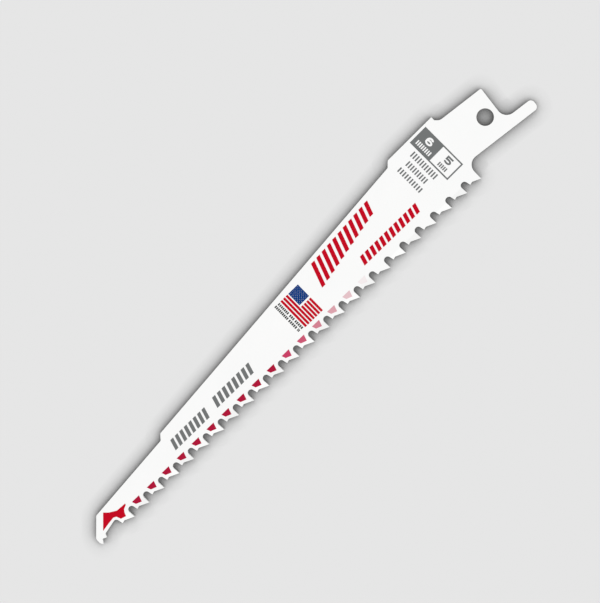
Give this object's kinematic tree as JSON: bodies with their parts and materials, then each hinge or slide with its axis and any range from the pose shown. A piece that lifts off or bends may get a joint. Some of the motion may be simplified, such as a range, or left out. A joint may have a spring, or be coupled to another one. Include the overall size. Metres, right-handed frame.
{
  "type": "reciprocating saw blade",
  "caption": "Tapered flat saw blade with set wood-cutting teeth, a hooked plunge nose and a canted notched shank with a pin hole, for a reciprocating saw.",
  "frame": {"origin": "centre of the shank's pin hole, at mid thickness", "axes": "+X along the tooth line toward the nose, +Y toward the teeth, +Z along the pin hole out of the printed face"},
  "size_m": [0.1524, 0.0192, 0.0014],
  "materials": {
    "white_enamel": "semi-gloss white coating on hardened strip steel",
    "red_ink": "thin opaque red print",
    "grey_ink": "thin opaque grey print",
    "blue_ink": "thin opaque blue print"
  },
  "bodies": {
    "root": {"saw_blade": "white_enamel"}
  },
  "joints": []
}
